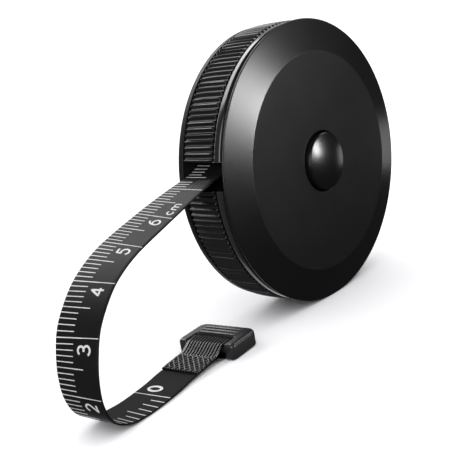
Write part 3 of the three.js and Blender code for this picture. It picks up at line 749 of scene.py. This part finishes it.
def tapeFold(line, f, t):
    # weld: pits where the lower of two crossing waves is high; ribs: a cosine across the tape
    fine = np.r_[np.arange(0, line["arc"][-1], f["step"]), line["arc"][-1]]
    x = np.interp(fine, line["arc"], line["x"])[:, None]
    top = np.interp(fine, line["arc"], line["top"])[:, None] > 0.5
    half, thick = t["width"] / 2, t["thickness"] / 2
    w = np.linspace(-half, half, f["columns"])
    run, side = f["diamond"]
    crossing = [np.abs(np.sin(np.pi * (x / run + sign * w / side))) for sign in (1, -1)]
    wave = np.minimum(*crossing)
    lattice = 1 - smoothStep(wave, *f["pit"])
    first, last = f["weld"]
    fade, ribFade = f["weldFade"], f["ribFade"]
    welded = smoothStep(x, first + fade[0], first + fade[1])
    welded = welded * (1 - smoothStep(x, last + fade[2], last + fade[3]))
    ribbed = smoothStep(x, last + ribFade[0], last + ribFade[1]) * (1 - smoothStep(x, *ribFade[2:]))
    rib = 0.5 + 0.5 * np.cos(2 * np.pi * f["ribs"] * w / t["width"])
    power, drop = f["thinEdge"]
    edge = 1 - (np.abs(w) / half) ** power
    lift = top * edge * (f["weldDepth"] * welded * lattice + f["ribDepth"] * ribbed * rib)
    outer = onTape(line, fine[:, None], w, thick + lift - drop * (1 - edge))
    inner = onTape(line, fine[:, None], w[::-1], -thick)
    uv = np.stack(np.broadcast_arrays(fine[:, None], np.r_[w, w[::-1]]), -1)
    # painted highlight: the raised lines of the weld on the top layer, to be painted lighter
    paintedHighlight = top * welded * lattice
    paintedHighlight = np.concatenate([paintedHighlight, np.zeros_like(inner[..., 0])], 1)
    return shell(np.concatenate([outer, inner], 1), caps=True), uv, paintedHighlight


(tapeRun, freeLength), leadRun, foldRun, coilRun = (
    freeLine(tapeSet), leadLine(tapeSet), foldLine(foldSet), coilLine(tapeSet))
section = tapeSection(tapeSet)
stripSteps = tapeSet["steps"]
strip, uv = tapeStrip(tapeRun, stripSteps["free"], section)
freeTape = addPiece("free_tape", strip, tapeCloth, "tape_end", ["tape_free"], sharp=50, uv=uv)
# 1 on the face that looks into the loop, which the tape's finish paints darker as painted shade
innerFace = np.tile((section[:, 1] < 0).astype(float), stripSteps["free"])
freeTape.data.attributes.new("innerFace", "FLOAT", "POINT").data.foreach_set("value", innerFace)
strip, uv = tapeStrip(leadRun, stripSteps["lead"], section)
addPiece("inner_tape_run", strip, tapeCloth, "case", ["tape_lead"], sharp=50, uv=uv)
strip, uv = tapeStrip(coilRun, stripSteps["coil"], section)
addPiece("wound_tape", strip, tapeCloth, "reel", ["tape_coil"], sharp=50, uv=uv)
strip, uv, paintedHighlight = tapeFold(foldRun, foldSet, tapeSet)
foldedEnd = addPiece("folded_tape_end", strip, weldedTape, "tape_end", ["tape_fold"],
                     sharp=60, uv=uv)
# the weld's raised lines carry the painted highlight
foldedEnd.data.attributes.new("weldLineHighlight", "FLOAT", "POINT").data.foreach_set("value", paintedHighlight.ravel())

# the tape between the mouth and the free loop, on no body; on the real tape this stretch pays out when the
# tape is pulled
seamPlaces = np.vstack([leadRun["place"][-1], tapeRun["place"][0]])
seamLine = levelLine(np.linspace(*seamPlaces, stripSteps["seam"]))
strip, uv = tapeStrip(seamLine, stripSteps["seam"], section)
seam = addPiece("paid_out_tape", strip, tapeCloth, None, sharp=50, uv=uv)
print("tape made, free length", round(float(freeLength), 1), "mm")


# Printed scale

printSet = {
    "zero": 73.9,  # arc of the zero line from the mouth
    "margin": 0.14,  # bare selvedge
    "tickWidth": 0.16, "heavyWidth": 0.18, "lightWidth": 0.14,
    "heavyLength": 5.2,  # stronger part of a full line, from the tick edge
    "unit": (60.9, 1.0, 1.5, 0.28),  # label past line 6: start, foot from the far edge, height, stroke
    "unitLetters": (("c", 0, 1.5), ("m", 1.75, 2.15)),  # letter, place, width
    "fineLines": (-0.6, -1.5, -2.3, -3.1), "fineWidth": 0.14,  # places across the tape
    "fineStretch": (0.1, 70.0, 12),  # from the mouth to this mark, in so many steps
    "freeEnds": (0.2, 0.5), "leadEnds": (0.3, 0.1),  # bare ends of the two runs
    "proud": 0.03, "sunk": 0.02,
}
outerScale = {  # centimetres on the face that looks out of the loop
    "face": 1, "step": 1.0, "whole": 10, "ticks": ((1, 3.4), (5, 5.4)), "numbers": range(7),
    "digit": (1.85, 2.7, 0.37),  # width, height, stroke
    "lead": 1.0,  # full line to the digit's near side
    "base": 1.45,  # digit's foot from the far edge
}
innerScale = {  # inches in sixteenths on the other face
    "face": -1, "step": 25.4 / 16, "whole": 16, "ticks": ((1, 3.1), (2, 3.6), (4, 4.4), (8, 5.4)),
    "numbers": range(3),
    "digit": (2.3, 3.3, 0.56), "lead": 1.1, "base": 1.6,
}


def arcRun(cx, cy, rx, ry, start, end, steps=14):
    # part of an oval, from one angle to another in degrees
    a = np.radians(np.linspace(start, end, steps))
    return np.c_[cx + rx * np.cos(a), cy + ry * np.sin(a)]


# strokes of each digit in a unit box, x to the right and y up
digitStrokes = {
    "0": [arcRun(0.5, 0.5, 0.5, 0.5, 90, 450, 29)],
    "1": [np.array([(0.18, 0.76), (0.56, 1.0), (0.56, 0.0)])],
    "2": [np.vstack([arcRun(0.5, 0.7, 0.48, 0.3, 165, -38), [(0.02, 0.0), (1.0, 0.0)]])],
    "3": [np.vstack([arcRun(0.48, 0.75, 0.44, 0.25, 155, -80), [(0.36, 0.52)]]),
          np.vstack([[(0.36, 0.52)], arcRun(0.48, 0.27, 0.5, 0.27, 80, -155)])],
    "4": [np.array([(0.72, 0.0), (0.72, 1.0), (0.0, 0.3), (1.0, 0.3)])],
    "5": [np.vstack([[(0.92, 1.0), (0.2, 1.0), (0.1, 0.52)], arcRun(0.48, 0.34, 0.5, 0.33, 138, -155)])],
    "6": [np.vstack([arcRun(0.8, 0.34, 0.8, 0.66, 96, 180, 9),
                     arcRun(0.5, 0.32, 0.5, 0.32, 180, 540, 25)])],
    "c": [arcRun(0.5, 0.5, 0.48, 0.5, 48, 312, 16)],
    "m": [np.array([(0.0, 0.0), (0.0, 1.0)]),
          np.vstack([arcRun(0.25, 0.72, 0.25, 0.28, 180, 0, 9), [(0.5, 0.0)]]),
          np.vstack([arcRun(0.75, 0.72, 0.25, 0.28, 180, 0, 9), [(1.0, 0.0)]])],
}


def inkLevels(face, p):
    # sunk and proud height of the ink on one face of the tape
    thick = tapeSet["thickness"] / 2
    return face * (thick - p["sunk"]), face * (thick + p["proud"])


def slabs(line, s, w, width, face, p):
    # bars across the tape: rows of arc s, ends w (low, high) and width along the tape
    low, high = inkLevels(face, p)
    s, width = np.broadcast_arrays(np.asarray(s, float), width)
    corner = np.array([(-0.5, 0), (0.5, 0), (0.5, 1), (-0.5, 1)])
    along = s[:, None] + corner[:, 0] * width[:, None]
    across = w[0] + (w[1] - w[0]) * corner[:, 1]
    rows = [onTape(line, along, across, level) for level in (low, high)]
    return [shell(np.stack(pair), caps=True) for pair in zip(*rows)]


def stroke(line, s, w, width, face, p):
    # a pen stroke of steady width along points (s, w); a stroke that ends where it starts is closed
    path = np.c_[s, w]
    ring = np.allclose(path[0], path[-1])
    if ring:
        path = path[:-1]
        along = np.roll(path, -1, 0) - np.roll(path, 1, 0)
    else:
        along = np.gradient(path, axis=0)
    side = unit(along)[:, ::-1] * np.array([-1, 1]) * width / 2
    low, high = inkLevels(face, p)
    edges = [(path + side, high), (path - side, high), (path - side, low), (path + side, low)]
    points = np.stack([onTape(line, e[:, 0], e[:, 1], level) for e, level in edges], 1)
    return shell(points, wrapU=ring, caps=not ring)


def finer(points, step=0.12):
    # extra points on the straight parts of a stroke, so that the ink follows the bend of the tape
    counts = [max(2, int(np.hypot(*gap) / step) + 1) for gap in np.diff(points, axis=0)]
    runs = [np.linspace(a, b, count)[:-1] for a, b, count in zip(points, points[1:], counts)]
    return np.vstack([*runs, points[-1:]])


def glyph(line, name, start, foot, size, weight, face, p):
    # face 1 is the outer one: it reads towards the mouth, its top at the back edge; face -1 turns it over
    width, height = size[0] - weight, size[1] - weight
    shapes = []
    for points in digitStrokes[name]:
        run = finer(points * (width, height)) + weight / 2
        half = tapeSet["width"] / 2
        shapes.append(stroke(line, start - run[:, 0], face * (foot + run[:, 1] - half), weight, face, p))
    return shapes


def scaleMarks(line, zero, first, last, scale, p):
    # a tick at every step, the longest length whose count divides the mark, a full line at every whole unit
    edge, face = tapeSet["width"] / 2 - p["margin"], scale["face"]
    mark = np.arange(int(np.ceil((zero - last) / scale["step"])), int((zero - first) / scale["step"]) + 1)
    mark = mark[mark >= 0]
    reach = np.zeros(len(mark))
    for count, length in scale["ticks"]:
        reach[mark % count == 0] = length
    whole = mark % scale["whole"] == 0
    reach[whole] = 0
    shapes = []
    for length in {length for _, length in scale["ticks"]}:
        at = zero - scale["step"] * mark[reach == length]
        shapes += slabs(line, at, (face * edge, face * (edge - length)), p["tickWidth"], face, p)
    at, turn = zero - scale["step"] * mark[whole], edge - p["heavyLength"]
    shapes += slabs(line, at, (face * edge, face * turn), p["heavyWidth"], face, p)
    return shapes + slabs(line, at, (face * turn, -face * edge), p["lightWidth"], face, p)


def freeScale(p):
    # marks, digits and the unit's label on the free run
    shapes = []
    first, last = p["freeEnds"][0], freeLength - p["freeEnds"][1]
    for scale in (outerScale, innerScale):
        size, weight, face = scale["digit"][:2], scale["digit"][2], scale["face"]
        shapes += scaleMarks(tapeRun, p["zero"], first, last, scale, p)
        for number in scale["numbers"]:
            start = p["zero"] - scale["whole"] * scale["step"] * number + scale["lead"] + size[0]
            shapes += glyph(tapeRun, str(number), start, scale["base"], size, weight, face, p)
    begin, foot, height, pen = p["unit"]
    for letter, place, width in p["unitLetters"]:
        shapes += glyph(tapeRun, letter, p["zero"] - begin - place, foot, (width, height), pen, 1, p)
    return together(shapes)


def leadScale(p):
    # the same marks further up the tape, on the inner run
    length = leadRun["arc"][-1]
    zero = p["zero"] + length + np.linalg.norm(np.diff(seamPlaces, axis=0))
    first, last = p["leadEnds"][0], length - p["leadEnds"][1]
    shapes = []
    for scale in (outerScale, innerScale):
        shapes += scaleMarks(leadRun, zero, first, last, scale, p)
    return together(shapes)


def fineLines(p):
    # thin lengthwise lines beside the ticks, from the seventh line into the mouth
    first, mark, steps = p["fineStretch"]
    s = np.linspace(first, p["zero"] - mark, steps)
    return together([stroke(tapeRun, s, np.full(steps, w), p["fineWidth"], 1, p) for w in p["fineLines"]])


scalePrint = addPiece("printed_scale", freeScale(printSet), whiteInk, "tape_end", sharp=60)
addPiece("printed_scale_inside", leadScale(printSet), whiteInk, "case", sharp=60)
linePrint = addPiece("printed_fine_lines", fineLines(printSet), greyInk, "tape_end", sharp=60)
print("scale printed")


# End tab

tabSet = {
    "front": -1.6, "back": 7.1, "half": 6.8, "thickness": 3.2,
    "corner": 1.9, "armTip": 0.9, "slotHalf": 4.55, "slotBack": 2.3, "slotRound": 0.45,
    "topRound": 0.72, "bottomRound": 0.4,
    "slotShare": 0.5,  # share of the rounding along the slot
    "slotFade": (0.3, 1.2),  # stretch of the arms' ends where it grows to the whole
    "hold": 0.05,  # inset of the flats' outermost ring, which keeps their shading flat
    "bar": 0.95, "barSunk": 0.8,
    "ridges": 3, "ridgeLead": 0.5, "ridgePitch": 1.2, "ridge": (0.36, 0.26),  # half width, height
}


def onTab(x, y, z):
    # tab's own axes: x away from the tape, y along the bar, z up from the bar's middle
    x, y, z = np.broadcast_arrays(x, y, z)
    ex = np.array([np.cos(tabTurn), np.sin(tabTurn), 0])
    ey = np.array([-np.sin(tabTurn), np.cos(tabTurn), 0])
    return barCentre + x[..., None] * ex + y[..., None] * ey + z[..., None] * np.array([0, 0, 1.0])


def tabRod(x, z, half, wide, tall, blunt=0.2):
    # rod along the bar with blunt round ends: radius * cos(v)^blunt at y = half * sin(v), short of the poles
    v = np.linspace(-0.495 * np.pi, 0.495 * np.pi, 33)[:, None]
    turn = np.linspace(0, 2 * np.pi, 24, endpoint=False)
    swell = np.cos(v) ** blunt
    across, up = x + wide * swell * np.cos(turn), z + tall * swell * np.sin(turn)
    return shell(onTab(across, half * np.sin(v), up), caps=True)


def endTab(t):
    # a rounded outline with two arms, drawn in at top and bottom by quarter rounds
    corners = [
        (t["back"], -t["half"], t["corner"]), (t["back"], t["half"], t["corner"]),
        (t["front"], t["half"], t["armTip"]), (t["front"], t["slotHalf"], t["slotRound"]),
        (t["slotBack"], t["slotHalf"], t["slotRound"]), (t["slotBack"], -t["slotHalf"], t["slotRound"]),
        (t["front"], -t["slotHalf"], t["slotRound"]), (t["front"], -t["half"], t["armTip"]),
    ]
    outline = held(rounded(corners, 8), 0.4)
    along = unit(np.roll(outline, -1, 0) - np.roll(outline, 1, 0))
    inward = np.c_[-along[:, 1], along[:, 0]]
    turn = np.linspace(0, np.pi / 2, 7)
    high, low = t["thickness"] / 2, -t["thickness"] / 2
    foot, crown, hold = t["bottomRound"], t["topRound"], t["hold"]
    rings = [(foot * (1 - np.sin(a)), low + foot * (1 - np.cos(a))) for a in turn]
    rings += [(crown * (1 - np.cos(a)), high - crown * (1 - np.sin(a))) for a in turn]
    rings = [(rings[0][0] + hold, low), *rings, (rings[-1][0] + hold, high)]
    inset, z = np.array(rings).T[:, :, None]
    # the slot's edges are rounded less than the outside
    side = np.abs(outline[:, 1]) - t["slotHalf"]
    slotEdge = (outline[:, 0] < t["slotBack"] + 0.01) * (1 - smoothStep(side, *t["slotFade"]))
    inset = inset * (1 - (1 - t["slotShare"]) * slotEdge)
    flat = outline + inset[..., None] * inward
    body = shell(onTab(flat[..., 0], flat[..., 1], z), caps=True)
    rods = [tabRod(0, 0, t["slotHalf"] + t["barSunk"], t["bar"], t["bar"])]
    for k in range(t["ridges"]):
        x = t["slotBack"] + t["ridgeLead"] + t["ridgePitch"] * k
        rods.append(tabRod(x, high, t["slotHalf"], *t["ridge"]))
    return together([body, *rods])


tabPiece = addPiece("moulded_tab", endTab(tabSet), tabAbs, "tab", ["end_tab"])
print("tab made")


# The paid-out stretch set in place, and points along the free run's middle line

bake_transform(seam)
routePath = onTape(tapeRun, np.linspace(0, freeLength, 100), 0, 0)


# Studio

studioSet = {
    "floor": (6000.0, 0.02),  # width of the paper, how far it lies below the part
    "paperTone": "#f6f6f8",
    "paperLight": {"power": 4.7, "spread": 140, "from": (-0.05, 0.0, 0.95), "reach": 1000},
    "lamps": {  # reach and size in millimetres, power in watts
        "key": {"from": (0.497, -0.862, 0.10), "reach": 620, "size": (120, 150), "power": 1.9},
        "top": {"from": (0.05, 0.65, 0.75), "reach": 800, "size": (760, 260), "power": 4.6},
        "right": {"from": (0.955, -0.225, -0.17), "reach": 110, "size": (30, 20), "power": 0.002},
        "back": {"from": (0.62, 0.68, 0.38), "reach": 800, "size": (460, 400), "power": 0.45},
        "rear": {"from": (0.10, 0.96, 0.25), "reach": 800, "size": (420, 420), "power": 3.6},
        "side": {"from": (0.77, -0.25, 0.59), "reach": 500, "size": (280, 200), "power": 0.5},
        "table": {"from": (0.21, 0.63, -0.74), "reach": 300, "size": (240, 200), "power": 0.13},
        "fill": {"from": (-0.85, -0.45, 0.30), "reach": 700, "size": (520, 520), "power": 3.5},
    },
    # brightness away from that side and towards it, and the cosine where it begins to rise
    "room": {"from": (-0.78, 0.60, -0.15), "level": (0.02, 0.25), "begins": 0.3, "tone": "#fbfcff"},
}


def aimed(way, reach):
    # pose of a lamp that shines on the disc from that way
    back = unit(np.array(way, float))
    side = unit(np.cross([0, 0, 1.0], back))
    pose = np.eye(4)
    pose[:3] = np.c_[side, np.cross(back, side), back, (discCentre + back * reach) * mm]
    return Matrix(pose.tolist())


def addLamp(name, light, way, reach):
    # a lamp that the camera doesn't see
    lamp = bpy.data.objects.new(name, light)
    lamp.matrix_world = aimed(way, reach)
    lamp.visible_camera = False
    bpy.context.scene.collection.objects.link(lamp)
    return lamp


def addFloor(s):
    width, drop = s["floor"]
    corner = np.array([(x, y, -drop) for x, y in [(-1, -1), (1, -1), (1, 1), (-1, 1)]])
    corner[:, :2] *= width / 2
    mesh = bpy.data.meshes.new("studio_floor")
    mesh.from_pydata((corner * mm).tolist(), [], [(0, 1, 2, 3)])
    # seamless paper: white and matt, lit until it nearly burns out
    material = bpy.data.materials.new("seamless paper")
    material.use_nodes = True
    tree = material.node_tree
    tree.nodes.clear()
    paper = addNode(tree, "ShaderNodeBsdfDiffuse", {"Color": linear(s["paperTone"])})
    addNode(tree, "ShaderNodeOutputMaterial", {"Surface": paper.outputs[0]})
    mesh.materials.append(material)
    floor = bpy.data.objects.new("studio_floor", mesh)
    floor.visible_glossy = False
    floor.visible_diffuse = False
    floor.visible_shadow = False
    bpy.context.scene.collection.objects.link(floor)
    # a wide lamp for the paper alone: the object shades it but takes no light from it
    p = s["paperLight"]
    light = bpy.data.lights.new("paper_light", "SUN")
    light.energy = p["power"]
    light.angle = radians(p["spread"])
    lightsPaper(addLamp("paper_light", light, p["from"], p["reach"]), floor, "INCLUDE")
    return floor


def lightsPaper(lamp, floor, state):
    # a lamp for the paper alone, or for all but the paper
    group = bpy.data.collections.new(lamp.name + "_paper")
    group.objects.link(floor)
    group.collection_objects[0].light_linking.link_state = state
    lamp.light_linking.receiver_collection = group


def addSoftbox(name, s, floor):
    light = bpy.data.lights.new(name, "AREA")
    light.shape = "RECTANGLE"
    light.size, light.size_y = (size * mm for size in s["size"])
    light.energy = s["power"]
    lightsPaper(addLamp(name, light, s["from"], s["reach"]), floor, "EXCLUDE")


def addSurround(s):
    # white behind the object; for the object itself a dim room with one brighter side
    world = bpy.data.worlds.new("studio")
    bpy.context.scene.world = world
    world.use_nodes = True
    tree = world.node_tree
    tree.nodes.clear()
    around = s["room"]
    away, near = around["level"]
    ray = addNode(tree, "ShaderNodeLightPath").outputs["Is Camera Ray"]
    way = addNode(tree, "ShaderNodeTexCoord").outputs["Generated"]
    side = addNode(tree, "ShaderNodeVectorMath", {0: way, 1: around["from"]}, operation="DOT_PRODUCT")
    level = addNode(tree, "ShaderNodeMapRange", {
        "Value": side.outputs["Value"], "From Min": around["begins"], "From Max": 1.0,
        "To Min": away, "To Max": near}).outputs[0]
    room = addNode(tree, "ShaderNodeBackground", {"Color": linear(around["tone"]), "Strength": level})
    white = addNode(tree, "ShaderNodeBackground", {"Color": (1, 1, 1, 1), "Strength": 1.0})
    mix = addNode(tree, "ShaderNodeMixShader", {0: ray, 1: room.outputs[0], 2: white.outputs[0]})
    addNode(tree, "ShaderNodeOutputWorld", {"Surface": mix.outputs[0]})


paperFloor = addFloor(studioSet)
for lampName, lampSet in studioSet["lamps"].items():
    addSoftbox("softbox_" + lampName, lampSet, paperFloor)
addSurround(studioSet)
bpy.context.scene.view_settings.view_transform = "Standard"
print("studio lit")
